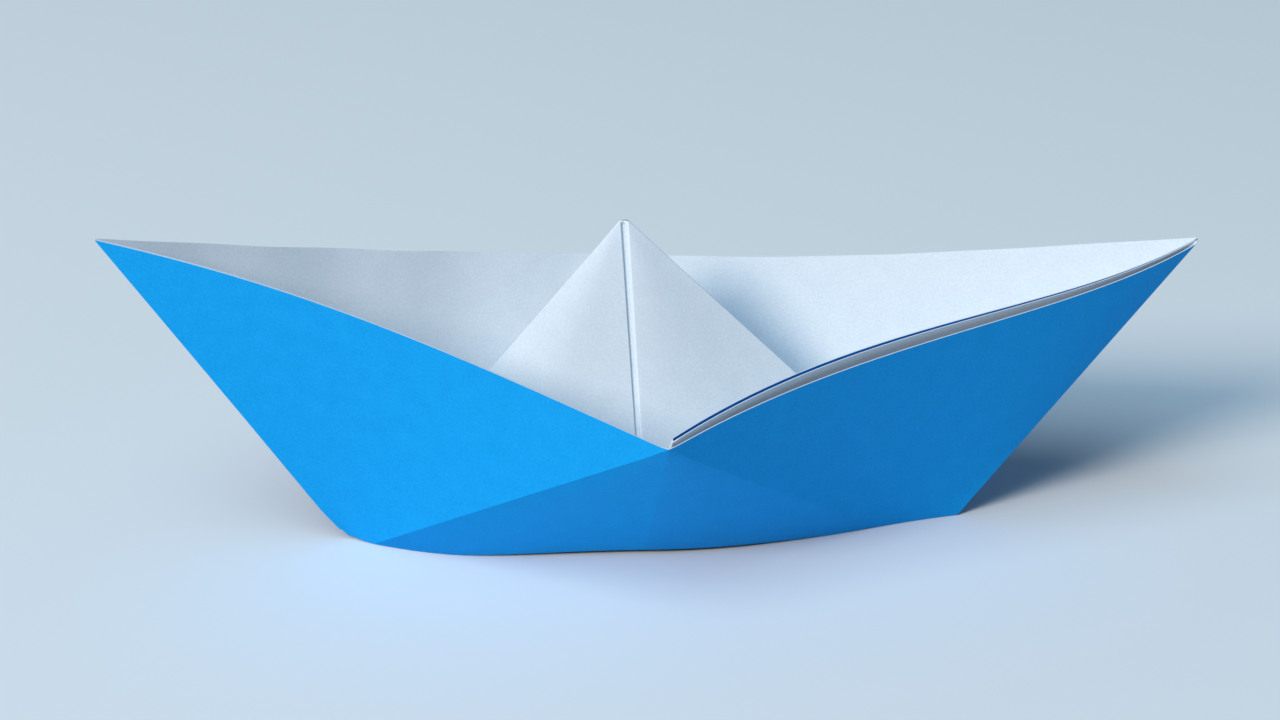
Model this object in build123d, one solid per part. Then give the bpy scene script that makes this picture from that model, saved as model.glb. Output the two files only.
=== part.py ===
from build123d import *
import os

# Folded paper sailboat, made from one square sheet with no cuts.
# Units are millimetres. X runs along the boat from bow to stern, Y from the near side to
# the far side, and Z is up. The boat rests on its bottom folds at Z = 0.
#
# The sheet's centre is the sail's peak. Each quarter of the sheet is folded round its own
# foot, where the end fold, the lower crease and the bottom fold meet. The near side has
# three leaves, called outer, middle and inner, and the far side has one.

# driving sizes
sheet_side = 150.0
paper_thickness = 0.1
leaf_gap = 0.1
end_fold_gap = 0.12
seam_half_gap_peak = 0.55
seam_half_gap_keel = 0.4
seam_half_gap_rim = 0.18
seam_shift_peak = 0.1
seam_shift_keel = 0.7
seam_shift_rim = 0.3
peak_hollow = 0.55
peak_drop = 0.75
flap_spread = 1.1
pocket_spread = 0.6

# places on the folded sheet, as shares of the sheet's side
bow_tip_shares = (-0.452, 0.001, 0.281)
stern_tip_shares = (0.459, 0.002, 0.245)
near_rim_shares = (0.002, -0.1767, 0.1575)
far_rim_shares = (-0.0015, 0.147, 0.1945)
bow_foot_shares = (-0.261, 0, 0)
stern_foot_shares = (0.261, 0, 0)
peak_shares = (-0.019, 0.039, 0.2735)
near_keel_shares = (-0.0085, -0.048, 0)
far_keel_shares = (-0.0085, 0.035, 0)

# the two inner control places of each rim's curve, from the tip to the middle
near_bow_rim_shares = ((-0.269, -0.0345, 0.2445), (-0.151, -0.096, 0.204))
near_stern_rim_shares = ((0.336, -0.061, 0.206), (0.1685, -0.093, 0.2135))
far_bow_rim_shares = ((-0.306, 0.083, 0.236), (-0.156, 0.1435, 0.203))
far_stern_rim_shares = ((0.322, 0.089, 0.212), (0.1705, 0.144, 0.1815))

# the two inner control places of each bottom fold's curve, from the foot to the middle
near_bow_keel_shares = ((-0.177, -0.050, 0), (-0.102, -0.048, 0))
near_stern_keel_shares = ((0.175, -0.021, 0), (0.092, -0.050, 0))
far_bow_keel_shares = ((-0.177, 0.023, 0), (-0.093, 0.0355, 0))
far_stern_keel_shares = ((0.174, 0.0195, 0), (0.085, 0.0335, 0))

# where the lower crease meets the bottom fold, on the way from the foot to the middle
bow_crease_share = 0.064
stern_crease_share = 0.271

# how far the flap of each end stands off the outer leaf, as shares of flap_spread
stern_spread_shares = {"tip": (0.3, 0.3, 0.45), "rim 1": (0, 0.5, 0.25), "rim 2": (0, 0.5, 1.85),
                       "rim": (0, 0.2, 0.5)}
bow_spread_shares = {"rim 2": (0, 0.05, -0.2), "rim": (0, 0.05, -0.25)}

# how much further the stern's inner leaf stands off the middle one, as shares of pocket_spread
stern_pocket_shares = {"tip": (0, 0.1, 0), "rim 1": (0, 0.6, 0), "rim 2": (0, 1.0, 0.1),
                       "rim": (0, 0.5, 0)}

third_share = 1 / 3
half_share = 1 / 2
least_lean_share = 0.2
step_share = 0.02
lean_steps = 300

# flat facets along each rim, and along each bottom fold on both sides of the lower crease
rim_facets = 16
bow_fold_facets = (2, 12)
stern_fold_facets = (4, 10)

leaf_pitch = paper_thickness + leaf_gap
half_paper = paper_thickness * half_share
fold_pitch = paper_thickness + end_fold_gap

ends = ("bow", "stern")
leaves = ("outer", "middle", "inner", "far")
shared_spots = ("rim", "keel", "peak")


def place(shares):
    return Vector(*shares) * sheet_side


def between(start, end, share):
    return start + (end - start) * share


def facing(a, b, c):
    """The unit normal of the flat face through three places."""
    return (b - a).cross(c - a).normalized()


def lean_over(faces):
    """The move that takes a corner one unit off all its faces, or as near as can be."""
    lean = sum(faces, Vector(0, 0, 0)).normalized()
    for _ in range(lean_steps):
        worst = min(faces, key=lambda face: face.dot(lean))
        lean = (lean + worst * step_share).normalized()
    return lean * (1 / max(min(face.dot(lean) for face in faces), least_lean_share))


def split(row, share):
    """The control rows of the two parts of a cubic curve."""
    first = [between(a, b, share) for a, b in zip(row, row[1:])]
    second = [between(a, b, share) for a, b in zip(first, first[1:])]
    middle = between(second[0], second[1], share)
    return [row[0], first[0], second[0], middle], [middle, second[1], first[2], row[3]]


def name_of(leaf, end, spot):
    """The outer and far leaves run on through the middle, and the flaps stop at the seam."""
    if leaf in ("outer", "far") and spot in shared_spots:
        return leaf, "both", spot
    return leaf, end, spot


def outer_places():
    places = {("outer", "both", "rim"): place(near_rim_shares),
              ("outer", "both", "keel"): place(near_keel_shares),
              ("outer", "both", "peak"): place(peak_shares) - Vector(0, 0, peak_drop)}
    rows = {"bow": (bow_tip_shares, near_bow_rim_shares, bow_foot_shares, near_bow_keel_shares),
            "stern": (stern_tip_shares, near_stern_rim_shares, stern_foot_shares,
                      near_stern_keel_shares)}
    for end, (tip, rim, foot, keel) in rows.items():
        places["outer", end, "tip"] = place(tip)
        places["outer", end, "foot"] = place(foot)
        places["outer", end, "rim 1"] = place(rim[0])
        places["outer", end, "rim 2"] = place(rim[1])
        places["outer", end, "keel 1"] = place(keel[0])
        places["outer", end, "keel 2"] = place(keel[1])
    return places


def panels(places, leaf, end):
    """White-side normals of a leaf's hull, lower and sail panels at one end."""
    spot = {s: places[name_of(leaf, end, s)] for s in ("tip", "rim", "foot", "keel", "peak")}
    turn = 1 if (leaf in ("outer", "inner")) == (end == "bow") else -1
    return {"hull": facing(spot["foot"], spot["tip"], spot["rim"]) * turn,
            "lower": facing(spot["foot"], spot["rim"], spot["keel"]) * turn,
            "sail": facing(spot["foot"], spot["keel"], spot["peak"]) * turn}


def stack_moves(places):
    """How each place of the near side moves for one unit from leaf to leaf."""
    bow, stern = panels(places, "outer", "bow"), panels(places, "outer", "stern")
    moves = {}
    rim = lean_over([bow["hull"], bow["lower"], stern["hull"], stern["lower"]])
    keel = lean_over([bow["lower"], bow["sail"], stern["lower"], stern["sail"]])
    peak = lean_over([bow["sail"], stern["sail"]])
    for end, faces in (("bow", bow), ("stern", stern)):
        tip = Vector(0, 1 / faces["hull"].Y, 0)
        foot = Vector(0, 0, 1 / min(faces["hull"].Z, faces["sail"].Z))
        moves[end] = {"tip": tip, "rim": rim, "foot": foot, "keel": keel, "peak": peak,
                      "rim 1": between(tip, rim, third_share),
                      "rim 2": between(rim, tip, third_share),
                      "keel 1": between(foot, keel, third_share),
                      "keel 2": between(keel, foot, third_share)}
    return moves


def flap_places(places):
    """Adds the middle and inner leaves, which end at the seam in the middle of the boat."""
    moves = stack_moves(places)
    seam = {"rim": (places["outer", "stern", "rim 2"], seam_shift_rim, seam_half_gap_rim),
            "keel": (places["outer", "stern", "keel 2"], seam_shift_keel, seam_half_gap_keel),
            "peak": (None, seam_shift_peak, seam_half_gap_peak)}
    for end, side, spreads, pockets in (("bow", -1, bow_spread_shares, {}),
                                        ("stern", 1, stern_spread_shares, stern_pocket_shares)):
        for spot, move in moves[end].items():
            start = places[name_of("outer", end, spot)]
            if spot in seam:
                aim, shift, gap = seam[spot]
                way = Vector(1, 0, 0) if aim is None else (aim - start) * (1 / (aim - start).X)
                start = start + way * (shift + gap * side)
            spread = Vector(*spreads.get(spot, (0, 0, 0))) * flap_spread
            pocket = Vector(*pockets.get(spot, (0, 0, 0))) * pocket_spread
            places["middle", end, spot] = start + move * leaf_pitch + spread
            places["inner", end, spot] = places["middle", end, spot] + move * leaf_pitch + pocket
        places["inner", end, "peak"] += Vector(0, 0, peak_drop)


def far_places(places):
    places["far", "both", "rim"] = place(far_rim_shares)
    places["far", "both", "keel"] = place(far_keel_shares)
    places["far", "both", "peak"] = place(peak_shares) + Vector(0, peak_hollow, 0)
    rows = {"bow": (far_bow_rim_shares, far_bow_keel_shares),
            "stern": (far_stern_rim_shares, far_stern_keel_shares)}
    for end, (rim, keel) in rows.items():
        across = Vector(0, fold_pitch, 0)
        places["far", end, "tip"] = places["inner", end, "tip"] + across
        places["far", end, "foot"] = places["inner", end, "foot"] + across
        places["far", end, "rim 1"] = place(rim[0])
        places["far", end, "rim 2"] = place(rim[1])
        places["far", end, "keel 1"] = place(keel[0])
        places["far", end, "keel 2"] = place(keel[1])


def fold_strips():
    """The narrow turned strips of the folds and the peak's cap, each as a round of places."""
    strips = []
    for end in ends:
        for one, two in (("outer", "middle"), ("inner", "far")):
            strips.append((end, [(one, "tip"), (one, "foot"), (two, "foot"), (two, "tip")]))
            strips.append((end, [(one, "foot"), (one, "peak"), (two, "peak"), (two, "foot")]))
        for low, high in (("rim", "keel"), ("keel", "peak")):
            strips.append((end, [("inner", high), ("inner", low), ("middle", low),
                                 ("middle", high)]))
        strips.append((end, [("middle", "peak"), ("outer", "peak"), ("inner", "peak")]))
        strips.append((end, [("inner", "peak"), ("outer", "peak"), ("far", "peak")]))
    named = []
    for end, corners in strips:
        keys = [name_of(leaf, end, spot) for leaf, spot in corners]
        named.append(keys if end == "bow" else keys[:1] + keys[:0:-1])
    return named


def paper_leans(places):
    """For each corner of the sheet, the move that takes it to the white side."""
    touching = {}
    spots = {"hull": ("tip", "rim", "foot"), "lower": ("foot", "rim", "keel"),
             "sail": ("foot", "keel", "peak")}
    for leaf in leaves:
        for end in ends:
            for panel, face in panels(places, leaf, end).items():
                for spot in spots[panel]:
                    touching.setdefault(name_of(leaf, end, spot), []).append(face)
    for keys in fold_strips():
        corners = [places[key] for key in keys]
        for here, key in enumerate(keys):
            face = facing(corners[here - 1], corners[here], corners[(here + 1) % len(keys)])
            touching[key].append(face)
    leans = {key: lean_over(faces) for key, faces in touching.items()}
    for leaf in leaves:
        for end in ends:
            tip, rim, foot, keel = (leans[name_of(leaf, end, spot)]
                                    for spot in ("tip", "rim", "foot", "keel"))
            leans[leaf, end, "rim 1"] = between(tip, rim, third_share)
            leans[leaf, end, "rim 2"] = between(rim, tip, third_share)
            leans[leaf, end, "keel 1"] = between(foot, keel, third_share)
            leans[leaf, end, "keel 2"] = between(keel, foot, third_share)
    return leans


def rest_on_folds(places, leans):
    """Lifts the sheet so that the blue sides of its bottom folds lie at Z = 0."""
    low = [name_of(leaf, end, spot) for leaf in ("outer", "far") for end in ends
           for spot in ("keel", "keel 1", "keel 2")]
    low += [("outer", end, "foot") for end in ends]
    lift = max(leans[key].Z for key in low if key[0] == "outer") * half_paper
    for key, spot in places.items():
        height = leans[key].Z * half_paper if key in low else spot.Z + lift
        places[key] = Vector(spot.X, spot.Y, height)


def steps_along(row, count):
    """Places at even shares along a cubic curve, with both its ends."""
    return [split(row, step / count)[1][0] for step in range(count + 1)]


def facets(one, two):
    """Flat triangles between two rows of places. The next step is taken on the row that lags."""
    faces, here, there = [], 0, 0
    one_steps, two_steps = len(one) - 1, len(two) - 1
    while here < one_steps or there < two_steps:
        behind = (here + half_share) * two_steps <= (there + half_share) * one_steps
        if there == two_steps or (here < one_steps and behind):
            corners = [one[here], one[here + 1], two[there]]
            here += 1
        else:
            corners = [one[here], two[there + 1], two[there]]
            there += 1
        faces.append(Face(Wire.make_polygon(corners, close=True)))
    return faces


def rim_row(skin, leaf, end):
    row = [skin[leaf, end, "tip"], skin[leaf, end, "rim 1"], skin[leaf, end, "rim 2"],
           skin[name_of(leaf, end, "rim")]]
    return steps_along(row, rim_facets)


def fold_rows(skin, leaf, end):
    """Places along a bottom fold, from the foot to the lower crease and on to the middle."""
    row = [skin[leaf, end, "foot"], skin[leaf, end, "keel 1"], skin[leaf, end, "keel 2"],
           skin[name_of(leaf, end, "keel")]]
    share = bow_crease_share if end == "bow" else stern_crease_share
    counts = bow_fold_facets if end == "bow" else stern_fold_facets
    return [steps_along(part, count) for part, count in zip(split(row, share), counts)]


def leaf_faces(skin, leaf, end):
    """One skin of a leaf at one end: the hull, the lower panel and the sail."""
    rim, peak = skin[name_of(leaf, end, "rim")], skin[name_of(leaf, end, "peak")]
    outside, inside = fold_rows(skin, leaf, end)
    return (facets(rim_row(skin, leaf, end), outside) + facets([rim], inside)
            + facets([peak], outside) + facets([peak], inside))


def skin_faces(skin):
    faces = []
    for leaf in leaves:
        for end in ends:
            faces += leaf_faces(skin, leaf, end)
    for keys in fold_strips():
        first, second, *rest = [skin[key] for key in keys]
        faces += facets([first, second], rest[::-1])
    return faces


def cut_edges(white, blue):
    """The sheet's four cut edges, as the rims of the leaves and the ends of the folds."""
    faces = []
    for end in ends:
        for leaf in leaves:
            faces += facets(rim_row(white, leaf, end), rim_row(blue, leaf, end))
        for one, two, spot in (("outer", "middle", "tip"), ("inner", "far", "tip"),
                               ("middle", "inner", "rim")):
            a, b = (one, end, spot), (two, end, spot)
            faces += facets([white[a], white[b]], [blue[a], blue[b]])
    return faces


def folded_sheet():
    places = outer_places()
    flap_places(places)
    far_places(places)
    leans = paper_leans(places)
    rest_on_folds(places, leans)
    white = {key: spot + leans[key] * half_paper for key, spot in places.items()}
    blue = {key: spot - leans[key] * half_paper for key, spot in places.items()}
    faces = skin_faces(white) + skin_faces(blue) + cut_edges(white, blue)
    return Solid(Shell(faces))


os.makedirs("parts", exist_ok=True)
export_step(folded_sheet(), "parts/folded_sheet.step")
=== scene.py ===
import bpy
import math
import numpy as np
from mathutils import Matrix, Vector


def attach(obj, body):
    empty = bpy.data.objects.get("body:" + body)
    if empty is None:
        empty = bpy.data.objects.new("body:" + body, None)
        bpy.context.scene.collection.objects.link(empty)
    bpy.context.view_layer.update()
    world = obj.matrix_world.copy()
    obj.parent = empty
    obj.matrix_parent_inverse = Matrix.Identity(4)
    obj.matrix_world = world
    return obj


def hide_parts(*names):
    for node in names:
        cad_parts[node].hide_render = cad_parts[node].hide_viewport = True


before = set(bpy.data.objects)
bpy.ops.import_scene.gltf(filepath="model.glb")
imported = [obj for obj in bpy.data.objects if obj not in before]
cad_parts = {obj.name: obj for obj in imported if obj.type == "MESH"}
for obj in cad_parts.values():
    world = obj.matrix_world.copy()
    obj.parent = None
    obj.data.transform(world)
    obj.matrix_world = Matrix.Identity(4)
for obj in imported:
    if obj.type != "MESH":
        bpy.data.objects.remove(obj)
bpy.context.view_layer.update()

# Folded paper sailboat. The sheet is built leaf by leaf as one surface with rounded folds, then
# given its thickness: a white skin, a blue skin and the cut edges. Lengths are in millimetres
# until the mesh is made. X runs from bow to stern, Y from the near side to the far side.
#
# The sheet's centre is the sail's peak. Each quarter is folded round its own foot. The near side
# has three leaves, called outer, middle and inner, and the far side has one.

# driving sizes
sheet_side = 150.0
paper_thickness = 0.1
leaf_gap = 0.04
end_fold_gap = 0.12
bottom_fold_radius = 0.22
far_fold_bulge = 0.13

# the seam between the two flaps, at the peak, the bottom fold and the rim
seam_half_gap_peak = 0.55
seam_half_gap_keel = 0.45
seam_half_gap_rim = 0.26
seam_shift_peak = 0.1
seam_shift_keel = 0.05
seam_shift_rim = 0.3

# the seam fold of each flap stands proud of the sheet under it by this much
seam_rise = {"bow": 0.0, "stern": 0.26}

# the peak: the hollow under it, and how far the leaves behind the inner one end below it
peak_hollow = 0.35
peak_drop = 0.25
stern_flap_peak_drop = 1.15

# how far the flaps stand off the outer leaf, and the stern's inner leaf off the middle one
flap_spread = 1.1
pocket_spread = 0.6

# the near side's bottom folds arch off the table between the two feet
arch_height = 0.55
arch_middle = -1.0
arch_half_length = 24.0

# the bow's foot is worn round: its corner is pushed in and up
foot_wear = (0.55, 0.0, 0.40)
foot_wear_reach = 4.5

# the near rim's valley is rounded off over this half width
valley_half_width = 1.3
valley_slopes = 0.9
valley_depth = 6.0
valley_way = (0.0, -0.79, 1.0)

# the far side's hull is slightly wavy, and more so towards the bow
wave_height = 0.2
wave_length = 16.2
wave_start = -55.8
wave_fade_rate = 8.0
calm_share = 0.35
calm_reach = 10.0

leaf_pitch = paper_thickness + leaf_gap
fold_pitch = paper_thickness + end_fold_gap
half_paper = paper_thickness / 2
third = 1 / 3
metre = 0.001

# how much of the lower bow panel's shading is that of a flat panel, up to its crisp crease
flat_shading_shares = {("lower", "bow"): 0.85}

# places on the folded sheet, as shares of the sheet's side
bow_tip_shares = (-0.452, 0.001, 0.281)
stern_tip_shares = (0.459, 0.002, 0.245)
near_rim_shares = (0.002, -0.1767, 0.1575)
far_rim_shares = (-0.0015, 0.147, 0.1945)
bow_foot_shares = (-0.261, 0, 0)
stern_foot_shares = (0.261, 0, 0)
peak_shares = (-0.019, 0.039, 0.2675)
near_keel_shares = (-0.0085, -0.048, 0)
far_keel_shares = (-0.0085, 0.035, 0)

# the two inner control places of each rim's curve, from the tip to the middle
near_bow_rim_shares = ((-0.269, -0.0345, 0.2445), (-0.151, -0.096, 0.204))
near_stern_rim_shares = ((0.336, -0.061, 0.206), (0.1685, -0.093, 0.2135))
far_bow_rim_shares = ((-0.306, 0.083, 0.236), (-0.156, 0.1435, 0.203))
far_stern_rim_shares = ((0.322, 0.089, 0.212), (0.1705, 0.144, 0.1815))

# the two inner control places of each bottom fold's curve, from the foot to the middle
near_bow_keel_shares = ((-0.1636, -0.0527, 0), (-0.1346, -0.0409, 0))
near_stern_keel_shares = ((0.184, -0.0125, 0), (0.092, -0.0560, 0))
far_bow_keel_shares = ((-0.177, 0.023, 0), (-0.093, 0.0355, 0))
far_stern_keel_shares = ((0.174, 0.0195, 0), (0.085, 0.0335, 0))

# where the lower crease meets the bottom fold, on the way from the foot to the middle
crease_shares = {"bow": 0.064, "stern": 0.271}

# how far the flap of each end stands off the outer leaf, as shares of flap_spread
stern_spread_shares = {"tip": (0.3, 0.3, 0.45), "rim 1": (0, 0.5, 0.25), "rim 2": (0, 0.5, 1.85),
                       "rim": (0, 0.2, 0.5)}
bow_spread_shares = {"rim 2": (0, 0.05, -0.2), "rim": (0, 0.05, -0.25)}

# how much further the stern's inner leaf stands off the middle one, as shares of pocket_spread
stern_pocket_shares = {"tip": (0, 0.1, 0), "rim 1": (0, 0.6, 0), "rim 2": (0, 1.0, 0.1),
                       "rim": (0, 0.5, 0)}

# the same places on the flat sheet, as shares of its side from its centre
flat_foot_share = 0.26
flat_near_keel_share = 0.294
flat_far_keel_share = 0.276

# the grid of each leaf, with columns closer together towards its ends by these shares
hull_columns = 36
lower_columns = 20
hull_ease_share = 0.6
lower_ease_share = 0.7
wall_rows = 14
fold_rows = 6
sail_rows = 14
strip_rows = 6

# limits that keep directions and offsets steady, and the steps of the search for a direction
least_lean = 0.2
lean_step = 0.02
lean_steps = 300
least_side = 0.3
least_offset_share = 0.6
least_area = 1e-6
least_length = 1e-12

ends = ("bow", "stern")
leaves = ("outer", "middle", "inner", "far")

# the papers: colour, darker colour of the grain, lighter colour of worn folds, roughness, bump
papers = {
    "white_paper": ((0.75, 0.81, 0.87), (0.66, 0.72, 0.79), (0.90, 0.95, 0.99), 0.75, 0.35),
    "blue_paper": ((0.009, 0.43, 0.92), (0.004, 0.345, 0.81), (0.05, 0.48, 0.93), 0.6, 0.35),
    "cut_edge": ((0.80, 0.84, 0.90), (0.66, 0.72, 0.82), (0.88, 0.92, 0.96), 0.8, 0.2)}
paper_specular = 0.12
fibre_scale = 420
fibre_detail = 4
fibre_roughness = 0.6
cloud_scale = 60
cloud_detail = 3
cloud_share = 0.35
grain_middle = 0.68
grain_spread = 0.22
grain_height = 0.00003

# the floor, with the colour that is seen and the colour of the light it throws back
floor_half_side = 6.0
floor_seen_colour = (0.80, 0.82, 0.84, 1)
floor_bounce_colour = (0.47, 0.57, 0.69, 1)
floor_roughness = 0.9
floor_specular = 0.1

# the lamps: turn from the near side to the bow and rise, in degrees, width, power and colour
lamps = {"key": (46, 33.5, 0.92, 46, (1.0, 0.90, 0.78)),
         "high_fill": (40, 60, 2.2, 42, (0.56, 0.80, 1.0))}
lamp_distance = 2.6
lamp_aim = (0, 0, 0.02)
world_colour = (0.45, 0.72, 1.0, 1)
world_strength = 0.16

# the camera, fitted to the photo
camera_yaw = math.radians(3.64)
camera_pitch = math.radians(23.93)
camera_roll = math.radians(-0.54)
camera_distance = 359.7
camera_aim = (-1.29, 0, 23.7)
focal_pixels = 2853
photo_width_pixels = 1280
sensor_width = 36.0


def place(shares):
    return np.array(shares, float) * sheet_side


def unit(v):
    return v / max(np.linalg.norm(v), least_length)


def between(a, b, share):
    return a + (b - a) * share


def facing(a, b, c):
    return unit(np.cross(b - a, c - a))


def lean_over(faces):
    """The move that takes a corner one unit off all its faces, or as near as can be."""
    lean = unit(sum(faces))
    for _ in range(lean_steps):
        worst = min(faces, key=lambda face: face @ lean)
        lean = unit(lean + worst * lean_step)
    return lean / max(min(face @ lean for face in faces), least_lean)


def name_of(leaf, end, spot):
    """The outer and far leaves run on through the middle, and the flaps stop at the seam."""
    if leaf in ("outer", "far") and spot in ("rim", "keel", "peak"):
        return leaf, "both", spot
    return leaf, end, spot


def outer_places():
    places = {("outer", "both", "rim"): place(near_rim_shares),
              ("outer", "both", "keel"): place(near_keel_shares),
              ("outer", "both", "peak"): place(peak_shares) - np.array((0, 0, peak_drop))}
    rows = {"bow": (bow_tip_shares, near_bow_rim_shares, bow_foot_shares, near_bow_keel_shares),
            "stern": (stern_tip_shares, near_stern_rim_shares, stern_foot_shares,
                      near_stern_keel_shares)}
    for end, (tip, rim, foot, keel) in rows.items():
        for spot, shares in (("tip", tip), ("foot", foot), ("rim 1", rim[0]), ("rim 2", rim[1]),
                             ("keel 1", keel[0]), ("keel 2", keel[1])):
            places["outer", end, spot] = place(shares)
    return places


def stack_moves(places):
    """How each place of the near side moves for one unit from leaf to leaf."""
    faces = {}
    for end, turn in (("bow", 1), ("stern", -1)):
        spot = {s: places[name_of("outer", end, s)] for s in ("tip", "rim", "foot", "keel", "peak")}
        faces[end] = (facing(spot["foot"], spot["tip"], spot["rim"]) * turn,
                      facing(spot["foot"], spot["rim"], spot["keel"]) * turn,
                      facing(spot["foot"], spot["keel"], spot["peak"]) * turn)
    (bow_hull, bow_lower, bow_sail), (stern_hull, stern_lower, stern_sail) = faces.values()
    rim = lean_over([bow_hull, bow_lower, stern_hull, stern_lower])
    keel = lean_over([bow_lower, bow_sail, stern_lower, stern_sail])
    peak = lean_over([bow_sail, stern_sail])
    moves = {}
    for end, (hull, lower, sail) in faces.items():
        tip = np.array((0, 1 / hull[1], 0))
        foot = np.array((0, 0, 1 / min(hull[2], sail[2])))
        moves[end] = {"tip": tip, "rim": rim, "foot": foot, "keel": keel, "peak": peak,
                      "rim 1": between(tip, rim, third), "rim 2": between(rim, tip, third),
                      "keel 1": between(foot, keel, third), "keel 2": between(keel, foot, third)}
    return moves


def flap_places(places):
    """Adds the middle and inner leaves, which end at the seam in the middle of the boat."""
    moves = stack_moves(places)
    seam = {"rim": (places["outer", "stern", "rim 2"], seam_shift_rim, seam_half_gap_rim),
            "keel": (places["outer", "stern", "keel 2"], seam_shift_keel, seam_half_gap_keel),
            "peak": (None, seam_shift_peak, seam_half_gap_peak)}
    for end, side, spreads, pockets in (("bow", -1, bow_spread_shares, {}),
                                        ("stern", 1, stern_spread_shares, stern_pocket_shares)):
        for spot, move in moves[end].items():
            start = places[name_of("outer", end, spot)]
            if spot in seam:
                aim, shift, gap = seam[spot]
                way = np.array((1.0, 0, 0)) if aim is None else (aim - start) / (aim - start)[0]
                start = start + way * (shift + gap * side)
            spread = np.array(spreads.get(spot, (0, 0, 0)), float) * flap_spread
            pocket = np.array(pockets.get(spot, (0, 0, 0)), float) * pocket_spread
            places["middle", end, spot] = start + move * leaf_pitch + spread
            places["inner", end, spot] = places["middle", end, spot] + move * leaf_pitch + pocket
        for spot in ("rim", "keel", "peak"):
            rise = moves[end][spot] * seam_rise[end]
            places["inner", end, spot] = places["inner", end, spot] + rise
        places["inner", end, "peak"] = places["inner", end, "peak"] + np.array((0, 0, peak_drop))
    drop = np.array((0, 0, stern_flap_peak_drop))
    places["middle", "stern", "peak"] = places["middle", "stern", "peak"] - drop


def far_places(places):
    """Adds the far leaf, which starts behind the inner leaf at both end folds."""
    places["far", "both", "rim"] = place(far_rim_shares)
    places["far", "both", "keel"] = place(far_keel_shares)
    places["far", "both", "peak"] = place(peak_shares) + np.array((0, peak_hollow, 0))
    rows = {"bow": (far_bow_rim_shares, far_bow_keel_shares),
            "stern": (far_stern_rim_shares, far_stern_keel_shares)}
    across = np.array((0, fold_pitch, 0))
    for end, (rim, keel) in rows.items():
        places["far", end, "tip"] = places["inner", end, "tip"] + across
        places["far", end, "foot"] = places["inner", end, "foot"] + across
        for spot, shares in (("rim 1", rim[0]), ("rim 2", rim[1]),
                             ("keel 1", keel[0]), ("keel 2", keel[1])):
            places["far", end, spot] = place(shares)


def cubic(row, t):
    """A place on the cubic curve with these four control places."""
    a, b, c, d = row
    s = 1 - t
    return a * s ** 3 + b * 3 * s * s * t + c * 3 * s * t * t + d * t ** 3


def cubic_way(row, t):
    """The direction of the same curve."""
    a, b, c, d = row
    s = 1 - t
    return unit((b - a) * s * s + (c - b) * 2 * s * t + (d - c) * t * t)


def arched(spot):
    """A place of a bottom fold, raised by the arch between the feet."""
    along = (spot[0] - arch_middle) / arch_half_length
    return spot + np.array((0, 0, arch_height * max(0.0, 1 - along * along)))


def wavy(spot, t, height_share):
    """A place of the far side's hull, moved by soft waves that fade to its folds."""
    calm = calm_share + (1 - calm_share) * min(max(-spot[0] / calm_reach, 0.0), 1.0)
    wave = math.cos(2 * math.pi * (spot[0] - wave_start) / wave_length)
    fade = height_share * (1 - math.exp(-wave_fade_rate * t))
    return spot + np.array((0, wave_height * calm * wave * fade, 0))


def rounded_valley(spot, rim):
    """A place of the near side's outer leaf, raised along the sheet in the rim's valley."""
    off = abs(spot[0] - rim[0])
    if off >= valley_half_width:
        return spot
    lift = valley_slopes * (valley_half_width - off) ** 2 / (4 * valley_half_width)
    lift *= math.exp(-max(rim[2] - spot[2], 0.0) / valley_depth)
    return spot + np.array(valley_way) * lift


def worn_foot(spot):
    """A place near the bow's foot, moved in where the corner is worn round."""
    foot = place(bow_foot_shares)
    off = math.hypot(spot[0] - foot[0], spot[2] - foot[2])
    share = max(0.0, 1 - off / foot_wear_reach)
    return spot + np.array(foot_wear) * share * share


def eased(shares, ease_share):
    """Even shares, drawn closer together towards both ends."""
    round_shares = 0.5 - 0.5 * np.cos(math.pi * shares)
    return ease_share * round_shares + (1 - ease_share) * shares


def column_shares(crease_share):
    """Shares along the rim and along the bottom fold for each column of a leaf."""
    hull = eased(np.linspace(0, 1, hull_columns + 1), hull_ease_share)
    lower = eased(np.linspace(0, 1, lower_columns + 1)[1:], lower_ease_share)
    rims = [*hull, *([1.0] * lower_columns)]
    keels = [*(hull * crease_share), *(crease_share + (1 - crease_share) * lower)]
    return list(zip(rims, keels))


def turned_column(top, corner, peak, way):
    """A column of places from the rim over the rounded bottom fold to the peak."""
    down, up = unit(top - corner), unit(peak - corner)
    along_down, along_up = down @ way, up @ way
    out_down, out_up = down - way * along_down, up - way * along_up
    side_down = max(np.linalg.norm(out_down), least_side)
    side_up = max(np.linalg.norm(out_up), least_side)
    e_down, e_up = unit(out_down), unit(out_up)
    angle = math.acos(max(-1, min(1, e_down @ e_up)))
    reach = bottom_fold_radius / math.tan(angle / 2)
    middle = unit(e_down + e_up)
    corner = corner - middle * bottom_fold_radius * (1 / math.sin(angle / 2) - 1)
    centre = corner + middle * (bottom_fold_radius / math.sin(angle / 2))
    start, stop = corner + e_down * reach - centre, corner + e_up * reach - centre
    swing = math.pi - angle
    points = [between(top, corner + down * (reach / side_down), i / wall_rows)
              for i in range(wall_rows)]
    for i in range(fold_rows + 1):
        share = i / fold_rows
        spot = (start * math.sin((1 - share) * swing) + stop * math.sin(share * swing))
        slide = between(along_down / side_down * reach, along_up / side_up * reach, share)
        points.append(centre + spot / math.sin(swing) + way * slide)
    foot = corner + up * (reach / side_up)
    points += [between(foot, peak, i / sail_rows) for i in range(1, sail_rows + 1)]
    return points


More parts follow.
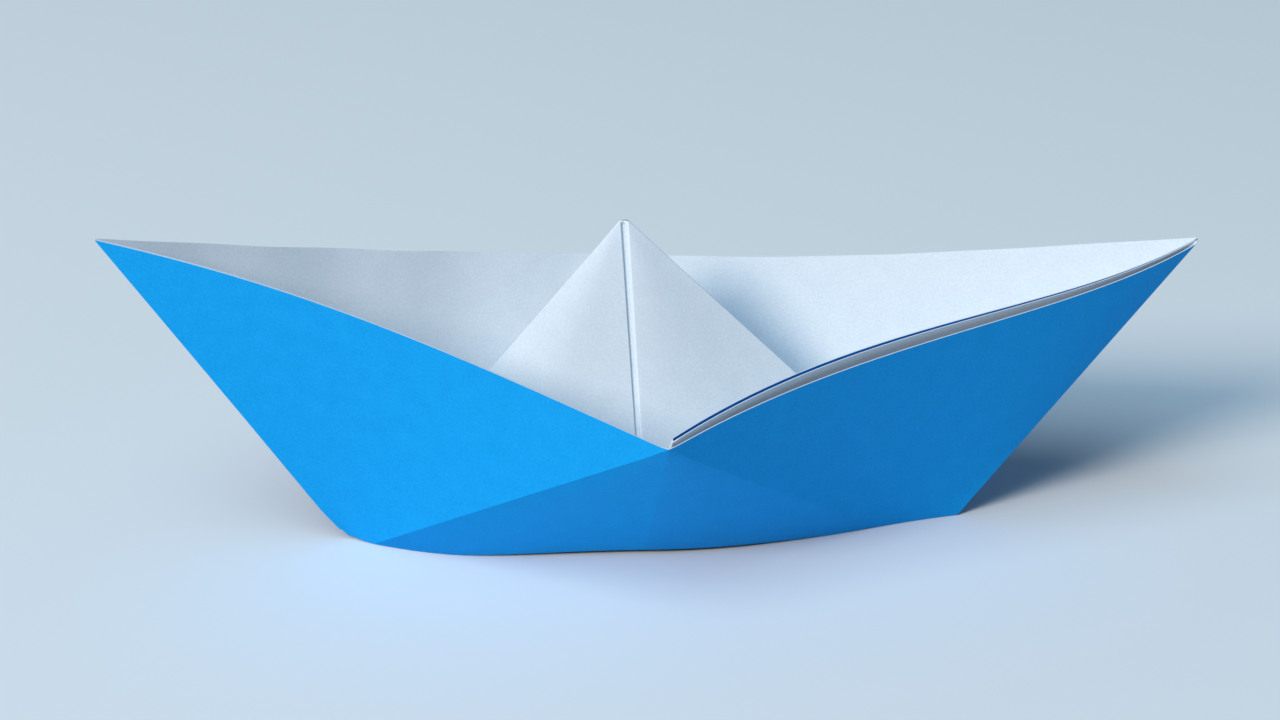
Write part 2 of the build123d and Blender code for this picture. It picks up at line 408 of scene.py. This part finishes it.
def flat_places(leaf, end):
    """Where a leaf's corners lie on the flat sheet."""
    side = -1 if end == "bow" else 1
    half, foot = 0.5, flat_foot_share
    if leaf == "outer":
        spots = {"tip": (side * half, -half), "rim": (0, -half), "foot": (side * foot, -foot),
                 "keel": (0, -flat_near_keel_share)}
    elif leaf == "middle":
        spots = {"tip": (side * half, -half), "rim": (side * half, 0),
                 "foot": (side * foot, -foot), "keel": (side * flat_near_keel_share, 0)}
    elif leaf == "inner":
        spots = {"tip": (side * half, half), "rim": (side * half, 0),
                 "foot": (side * foot, foot), "keel": (side * flat_near_keel_share, 0)}
    else:
        spots = {"tip": (side * half, half), "rim": (0, half), "foot": (side * foot, foot),
                 "keel": (0, flat_far_keel_share)}
    spots["peak"] = (0, 0)
    return {key: np.array(value, float) * sheet_side for key, value in spots.items()}


class Sheet:
    """The sheet's middle surface: points, their places on the flat sheet, folds and faces."""

    def __init__(self):
        self.points = []
        self.flats = []
        self.folds = []
        self.faces = []
        self.panels = []

    def point(self, spot, flat, fold=0.0):
        self.points.append(np.array(spot, float))
        self.flats.append(np.array(flat, float))
        self.folds.append(fold)
        return len(self.points) - 1

    def face(self, corners, turned, panel=None):
        kept = []
        for c in corners:
            if c not in kept:
                kept.append(c)
        if len(kept) > 2:
            self.faces.append(kept[::-1] if turned else kept)
            self.panels.append(panel)


def panel_of(leaf, end, column, row):
    """The panel of the near side's outer hull that a face lies in."""
    if leaf != "outer" or row >= wall_rows:
        return None
    return ("lower" if column >= hull_columns else "hull"), end


def smooth_group(panel):
    """Panels in one group run smoothly into each other: only the stern's crease is soft."""
    return panel if panel[1] == "bow" else panel[1]


def flat_spot(row, top, low, peak):
    """Where a row of a column lies on the flat sheet, from its rim, bottom fold and peak."""
    if row <= wall_rows:
        return between(top, low, row / wall_rows)
    if row <= wall_rows + fold_rows:
        return low
    return between(low, peak, (row - wall_rows - fold_rows) / sail_rows)


def shaped(point, leaf, rim, t, row):
    """A place of the hull with its leaf's own waves or rounded valley."""
    if row < wall_rows and leaf == "far":
        return wavy(point, t, 1 - row / wall_rows)
    if row < wall_rows and leaf == "outer":
        return rounded_valley(point, rim)
    return point


def build_leaf(sheet, places, leaf, end, shared):
    """The grid of one leaf at one end. Columns run from the end fold to the middle."""
    spot = {s: places[name_of(leaf, end, s)] for s in ("tip", "rim", "foot", "keel", "peak")}
    rim = [spot["tip"], places[leaf, end, "rim 1"], places[leaf, end, "rim 2"], spot["rim"]]
    keel = [spot["foot"], places[leaf, end, "keel 1"], places[leaf, end, "keel 2"], spot["keel"]]
    flat = flat_places(leaf, end)
    columns = column_shares(crease_shares[end])
    whole = leaf in ("outer", "far")
    grid = []
    peak = shared.get((leaf, "peak"))
    if peak is None:
        peak = sheet.point(spot["peak"], flat["peak"])
        if whole:
            shared[leaf, "peak"] = peak
    rim_point = shared.get((leaf, "rim"))
    for number, (t, u) in enumerate(columns):
        if number == len(columns) - 1 and (leaf, "middle") in shared:
            grid.append(shared[leaf, "middle"])
            break
        corner = arched(cubic(keel, u)) if leaf != "far" else cubic(keel, u)
        points = turned_column(cubic(rim, t), corner, spot["peak"], cubic_way(keel, u))
        top, low = between(flat["tip"], flat["rim"], t), between(flat["foot"], flat["keel"], u)
        column = []
        for row, point in enumerate(points[:-1]):
            if row == 0 and t == 1.0 and rim_point is not None:
                column.append(rim_point)
                continue
            folded = 1.0 if wall_rows < row < wall_rows + fold_rows else 0.0
            column.append(sheet.point(shaped(point, leaf, spot["rim"], t, row),
                                      flat_spot(row, top, low, flat["peak"]), folded))
            if row == 0 and t == 1.0:
                rim_point = column[0]
                if whole:
                    shared[leaf, "rim"] = rim_point
        grid.append([*column, peak])
    if whole:
        shared[leaf, "middle"] = grid[-1]
    turned = (leaf in ("outer", "inner")) != (end == "bow")
    for number, (left, right) in enumerate(zip(grid, grid[1:])):
        for row in range(len(left) - 1):
            sheet.face([left[row], right[row], right[row + 1], left[row + 1]], turned,
                       panel_of(leaf, end, number, row))
    return grid


def build_strip(sheet, one, next_one, two, next_two, turned, most_bulge):
    """The rounded fold that joins the edge columns of two leaves."""
    rows = []
    for j, (a, b) in enumerate(zip(one, two)):
        before, after = max(j - 1, 0), min(j + 1, len(one) - 1)
        a_spot, b_spot = sheet.points[a], sheet.points[b]
        along = unit(unit(sheet.points[one[after]] - sheet.points[one[before]])
                     + unit(sheet.points[two[after]] - sheet.points[two[before]]))
        if j < len(one) - 1:
            out = (unit(a_spot - sheet.points[next_one[j]])
                   + unit(b_spot - sheet.points[next_two[j]]))
        reach = (a_spot - b_spot) / 2
        way = out - along * (out @ along)
        across = unit(reach)
        way = unit(way - across * (way @ across))
        centre, bulge = (a_spot + b_spot) / 2, min(np.linalg.norm(reach), most_bulge)
        row = [a]
        for q in range(1, strip_rows):
            angle = math.pi * q / strip_rows
            spot = centre + reach * math.cos(angle) + way * bulge * math.sin(angle)
            flat = between(sheet.flats[a], sheet.flats[b], q / strip_rows)
            row.append(sheet.point(spot, flat, 1.0))
        row.append(b)
        rows.append(row)
    for low, high in zip(rows, rows[1:]):
        for q in range(strip_rows):
            sheet.face([low[q], low[q + 1], high[q + 1], high[q]], turned)
    return rows[-1]


def build_cap(sheet, places, tops):
    """The small cap that closes the sheet at the peak, inside the ends of all its folds."""
    ring = []
    for end in ends:
        half = tops[end, "outer"] + tops[end, "middle"][1:] + tops[end, "inner"][1:]
        ring += half if end == "bow" else half[::-1][1:-1]
    high = [places["inner", "bow", "peak"], places["inner", "stern", "peak"],
            places["far", "both", "peak"]]
    centre = sheet.point(sum(high) / len(high), (0, 0))
    for a, b in zip(ring, ring[1:] + ring[:1]):
        sheet.face([a, b, centre], True)


def build_sheet():
    places = outer_places()
    flap_places(places)
    far_places(places)
    sheet = Sheet()
    shared = {}
    grids = {(leaf, end): build_leaf(sheet, places, leaf, end, shared)
             for leaf in leaves for end in ends}
    tops = {}
    for end in ends:
        turned = end == "bow"
        for one, two, bulge in (("outer", "middle", leaf_pitch / 2), ("inner", "far", far_fold_bulge)):
            a, b = grids[one, end], grids[two, end]
            tops[end, one] = build_strip(sheet, a[0], a[1], b[0], b[1], turned, bulge)
        a, b = grids["middle", end], grids["inner", end]
        bulge = leaf_pitch / 2 + seam_rise[end] / 2
        tops[end, "middle"] = build_strip(sheet, a[-1], a[-2], b[-1], b[-2], turned, bulge)
    build_cap(sheet, places, tops)
    sheet.points = [worn_foot(spot) for spot in sheet.points]
    return sheet


def face_normals(points, faces):
    """The normal of each face, as long as the face's area."""
    normals = np.zeros((len(faces), 3))
    for n, corners in enumerate(faces):
        p = points[corners]
        normals[n] = sum(np.cross(p[i] - p[0], p[i + 1] - p[0]) for i in range(1, len(p) - 1)) / 2
    return normals


def shading_normals(sheet, areas, normals):
    """The normal that each corner of each face is shaded with."""
    sums, totals = {}, {}
    for corners, area, panel in zip(sheet.faces, areas, sheet.panels):
        if panel:
            totals[panel] = totals.get(panel, 0) + area
            for c in corners:
                key = (smooth_group(panel), c)
                sums[key] = sums.get(key, 0) + area
    shaded = []
    for corners, panel in zip(sheet.faces, sheet.panels):
        if panel:
            own = [unit(sums[smooth_group(panel), c]) for c in corners]
            share = flat_shading_shares.get(panel, 0)
            shaded.append([unit(between(n, unit(totals[panel]), share)) for n in own])
        else:
            shaded.append([normals[c] for c in corners])
    return shaded


def offset_reach(sheet, areas, normals):
    """How far each point moves along its normal to stand half the paper off its faces."""
    least = np.ones(len(normals))
    for corners, area in zip(sheet.faces, areas):
        size = np.linalg.norm(area)
        if size > least_area:
            least[corners] = np.minimum(least[corners], normals[corners] @ (area / size))
    return half_paper / np.maximum(least, least_offset_share)


def thicken(sheet):
    """The white skin, the blue skin and the cut edges, as one closed mesh."""
    points = np.array(sheet.points)
    areas = face_normals(points, sheet.faces)
    sums = np.zeros_like(points)
    for corners, area in zip(sheet.faces, areas):
        sums[corners] += area
    normals = sums / np.maximum(np.linalg.norm(sums, axis=1, keepdims=True), least_length)
    offsets = normals * offset_reach(sheet, areas, normals)[:, None]
    count = len(points)
    faces = [list(f) for f in sheet.faces] + [[count + c for c in f[::-1]] for f in sheet.faces]
    kinds = [0] * len(sheet.faces) + [1] * len(sheet.faces)
    edges = {}
    for f in sheet.faces:
        for a, b in zip(f, f[1:] + f[:1]):
            edges[a, b] = True
    open_edges = [(a, b) for a, b in edges if (b, a) not in edges]
    for a, b in open_edges:
        faces.append([b, a, count + a, count + b])
        kinds.append(2)
    shaded = shading_normals(sheet, areas, normals)
    loops = [tuple(n) for row in shaded for n in row]
    loops += [tuple(-n) for row in shaded for n in row[::-1]]
    loops += [(0.0, 0.0, 0.0)] * (4 * len(open_edges))
    return np.concatenate([points + offsets, points - offsets]), faces, kinds, loops


def make_piece(sheet):
    """The mesh of the boat, standing on the floor, with its flat layout and its folds marked."""
    points, faces, kinds, loops = thicken(sheet)
    points = points - np.array((0, 0, points[:, 2].min()))
    mesh = bpy.data.meshes.new("paper_boat")
    mesh.from_pydata([tuple(p) for p in points * metre], [], faces)
    layer = mesh.uv_layers.new(name="flat sheet")
    folds = mesh.attributes.new("fold", "FLOAT", "POINT")
    folds.data.foreach_set("value", sheet.folds + sheet.folds)
    flats = sheet.flats + sheet.flats
    for loop, corner in zip(layer.data, mesh.loops):
        flat = flats[corner.vertex_index]
        loop.uv = (flat[0] / sheet_side + 0.5, flat[1] / sheet_side + 0.5)
    for polygon, kind in zip(mesh.polygons, kinds):
        polygon.material_index = kind
        polygon.use_smooth = True
    mesh.normals_split_custom_set(loops)
    mesh.update()
    piece = bpy.data.objects.new("paper_boat", mesh)
    bpy.context.scene.collection.objects.link(piece)
    return piece


def noise(tree, flat_layout, scale, detail, roughness=0.5):
    node = tree.nodes.new("ShaderNodeTexNoise")
    node.inputs["Scale"].default_value = scale
    node.inputs["Detail"].default_value = detail
    node.inputs["Roughness"].default_value = roughness
    tree.links.new(flat_layout, node.inputs["Vector"])
    return node.outputs["Fac"]


def joined(tree, operation, one, two):
    """A math node of two inputs that vary."""
    node = tree.nodes.new("ShaderNodeMath")
    node.operation = operation
    tree.links.new(one, node.inputs[0])
    tree.links.new(two, node.inputs[1])
    return node.outputs["Value"]


def paper_material(name, colour, dark, worn, rough, bump):
    """Matt paper: fine fibre grain, soft clouding, lighter wear along the folds and a faint bump,
    laid out on the flat sheet."""
    material = bpy.data.materials.new(name)
    material.use_nodes = True
    tree = material.node_tree
    nodes, link = tree.nodes, tree.links.new
    shader = nodes["Principled BSDF"]
    shader.inputs["Roughness"].default_value = rough
    shader.inputs["Specular IOR Level"].default_value = paper_specular
    layout = nodes.new("ShaderNodeUVMap")
    layout.uv_map = "flat sheet"
    fibres = noise(tree, layout.outputs["UV"], fibre_scale, fibre_detail, fibre_roughness)
    clouds = noise(tree, layout.outputs["UV"], cloud_scale, cloud_detail)
    both = nodes.new("ShaderNodeMath")
    both.operation = "MULTIPLY_ADD"
    link(clouds, both.inputs[0])
    both.inputs[1].default_value = cloud_share
    link(fibres, both.inputs[2])
    grain = nodes.new("ShaderNodeValToRGB")
    low, high = grain.color_ramp.elements
    low.position = grain_middle - grain_spread
    low.color = (*dark, 1)
    high.position = grain_middle + grain_spread
    high.color = (*colour, 1)
    link(both.outputs["Value"], grain.inputs["Fac"])
    fold = nodes.new("ShaderNodeAttribute")
    fold.attribute_name = "fold"
    wear = nodes.new("ShaderNodeMix")
    wear.data_type = "RGBA"
    link(joined(tree, "MULTIPLY", fold.outputs["Fac"], both.outputs["Value"]), wear.inputs["Factor"])
    link(grain.outputs["Color"], wear.inputs["A"])
    wear.inputs["B"].default_value = (*worn, 1)
    link(wear.outputs["Result"], shader.inputs["Base Color"])
    relief = nodes.new("ShaderNodeBump")
    relief.inputs["Strength"].default_value = bump
    relief.inputs["Distance"].default_value = grain_height
    link(fibres, relief.inputs["Height"])
    link(relief.outputs["Normal"], shader.inputs["Normal"])
    return material


def floor_material():
    """Plain matt paint, pale where it is seen and darker for the light that it throws back."""
    material = bpy.data.materials.new("floor_paint")
    material.use_nodes = True
    tree = material.node_tree
    shader = tree.nodes["Principled BSDF"]
    shader.inputs["Roughness"].default_value = floor_roughness
    shader.inputs["Specular IOR Level"].default_value = floor_specular
    seen = tree.nodes.new("ShaderNodeMix")
    seen.data_type = "RGBA"
    seen.inputs["A"].default_value = floor_bounce_colour
    seen.inputs["B"].default_value = floor_seen_colour
    path = tree.nodes.new("ShaderNodeLightPath")
    share = joined(tree, "MAXIMUM", path.outputs["Is Camera Ray"], path.outputs["Is Glossy Ray"])
    share = joined(tree, "MAXIMUM", share, path.outputs["Is Transmission Ray"])
    tree.links.new(share, seen.inputs["Factor"])
    tree.links.new(seen.outputs["Result"], shader.inputs["Base Color"])
    return material


def make_floor():
    half = floor_half_side
    mesh = bpy.data.meshes.new("floor")
    mesh.from_pydata([(-half, -half, 0), (half, -half, 0), (half, half, 0), (-half, half, 0)],
                     [], [(0, 1, 2, 3)])
    mesh.materials.append(floor_material())
    piece = bpy.data.objects.new("floor", mesh)
    bpy.context.scene.collection.objects.link(piece)
    return piece


def lamp_place(turn, rise):
    """A place seen from the boat, turned from the near side to the bow and raised by degrees."""
    turn, rise = math.radians(turn), math.radians(rise)
    way = Vector((-math.sin(turn) * math.cos(rise), -math.cos(turn) * math.cos(rise),
                  math.sin(rise)))
    return way * lamp_distance


def add_lamp(name, turn, rise, width, power, colour):
    data = bpy.data.lights.new(name, "AREA")
    data.shape = "DISK"
    data.size = width
    data.energy = power
    data.color = colour
    lamp = bpy.data.objects.new(name, data)
    lamp.location = lamp_place(turn, rise)
    lamp.rotation_mode = "QUATERNION"
    lamp.rotation_quaternion = (Vector(lamp_aim) - lamp.location).to_track_quat("-Z", "Y")
    bpy.context.scene.collection.objects.link(lamp)


def add_world():
    world = bpy.data.worlds.new("world")
    bpy.context.scene.world = world
    world.use_nodes = True
    background = world.node_tree.nodes["Background"]
    background.inputs["Color"].default_value = world_colour
    background.inputs["Strength"].default_value = world_strength


def add_camera():
    right = np.array((math.cos(camera_yaw), -math.sin(camera_yaw), 0))
    ahead = np.array((math.sin(camera_yaw) * math.cos(camera_pitch),
                      math.cos(camera_yaw) * math.cos(camera_pitch), -math.sin(camera_pitch)))
    up = np.cross(right, ahead)
    rolled_right = math.cos(camera_roll) * right + math.sin(camera_roll) * up
    rolled_up = -math.sin(camera_roll) * right + math.cos(camera_roll) * up
    seat = (np.array(camera_aim) - ahead * camera_distance) * metre
    data = bpy.data.cameras.new("camera")
    data.sensor_width = sensor_width
    data.lens = sensor_width * focal_pixels / photo_width_pixels
    camera = bpy.data.objects.new("camera", data)
    rows = [(rolled_right[i], rolled_up[i], -ahead[i], seat[i]) for i in range(3)]
    camera.matrix_world = Matrix((*rows, (0, 0, 0, 1)))
    bpy.context.scene.collection.objects.link(camera)
    bpy.context.scene.camera = camera


boat = make_piece(build_sheet())
for name, look in papers.items():
    boat.data.materials.append(paper_material(name, *look))
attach(boat, "root")
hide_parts("folded_sheet")

make_floor()
for name, lamp in lamps.items():
    add_lamp(name, *lamp)
add_world()
add_camera()
bpy.context.scene.view_settings.view_transform = "Standard"
